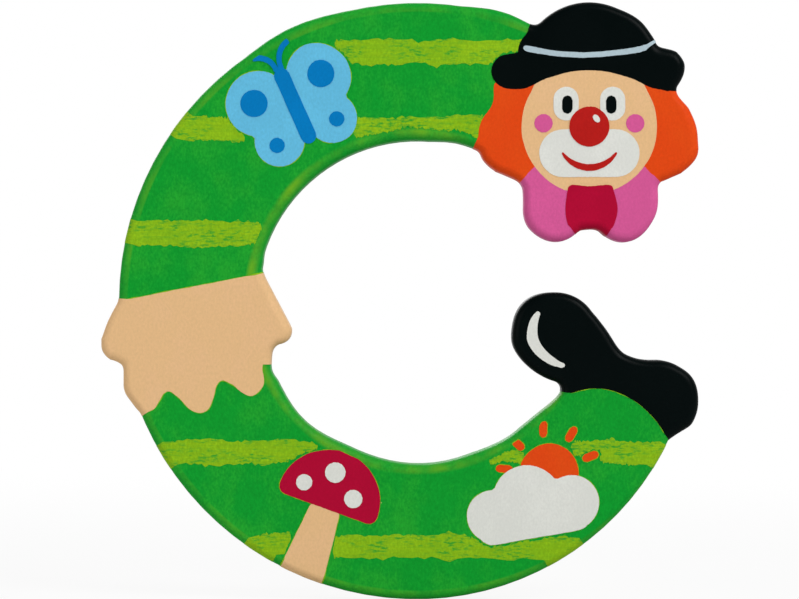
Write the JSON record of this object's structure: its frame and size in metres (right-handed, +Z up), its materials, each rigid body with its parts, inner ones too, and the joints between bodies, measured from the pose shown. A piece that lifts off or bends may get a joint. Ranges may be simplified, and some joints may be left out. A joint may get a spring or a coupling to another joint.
{
  "type": "wooden letter",
  "caption": "Routed plywood letter C with painted clown head, hand and shoe shapes on its stroke and foam tape on its back, for sticking on a door or wall.",
  "frame": {"origin": "middle of the tape behind the letter's spine, on the plane of the wall", "axes": "+Z up the letter, +Y into the wall, so the painted front faces -Y and the letter opens towards +X"},
  "size_m": [0.11, 0.0095, 0.11],
  "materials": {
    "plywood": "sanded three-ply board, bare on the back",
    "lime_paint": "satin acrylic paint, brushed or sprayed",
    "green_paint": "satin acrylic paint",
    "black_paint": "satin acrylic paint",
    "pale_paint": "satin acrylic paint",
    "orange_paint": "satin acrylic paint",
    "skin_paint": "satin acrylic paint",
    "white_paint": "satin acrylic paint",
    "red_paint": "satin acrylic paint",
    "pink_paint": "satin acrylic paint",
    "crimson_paint": "satin acrylic paint",
    "light_blue_paint": "satin acrylic paint",
    "blue_paint": "satin acrylic paint",
    "foam_tape": "white closed-cell foam with adhesive on both faces"
  },
  "bodies": {
    "root": {"front_ply": "plywood", "core_ply": "plywood", "back_ply": "plywood", "ground_coat": "lime_paint", "green_coat": "green_paint", "stripe_1": "lime_paint", "stripe_2": "lime_paint", "stripe_3": "lime_paint", "stripe_4": "lime_paint", "stripe_5": "lime_paint", "hat_coat": "black_paint", "hat_band": "pale_paint", "hair_coat": "orange_paint", "face_coat": "skin_paint", "muzzle_coat": "white_paint", "eye_patch_left": "white_paint", "eye_patch_right": "white_paint", "eye_left": "black_paint", "eye_right": "black_paint", "cheek_left": "pink_paint", "cheek_right": "pink_paint", "smile_coat": "red_paint", "nose_coat": "red_paint", "nose_glint": "white_paint", "bow_coat": "pink_paint", "bow_knot": "crimson_paint", "hand_coat": "skin_paint", "shoe_coat": "black_paint", "shoe_glint": "white_paint", "butterfly_wings": "light_blue_paint", "butterfly_spots": "blue_paint", "butterfly_body": "blue_paint", "toadstool_cap": "crimson_paint", "toadstool_spots": "white_paint", "toadstool_stem": "skin_paint", "sun_coat": "orange_paint", "cloud_coat": "white_paint", "tape_top": "foam_tape", "tape_spine": "foam_tape", "tape_bottom": "foam_tape"}
  },
  "joints": []
}
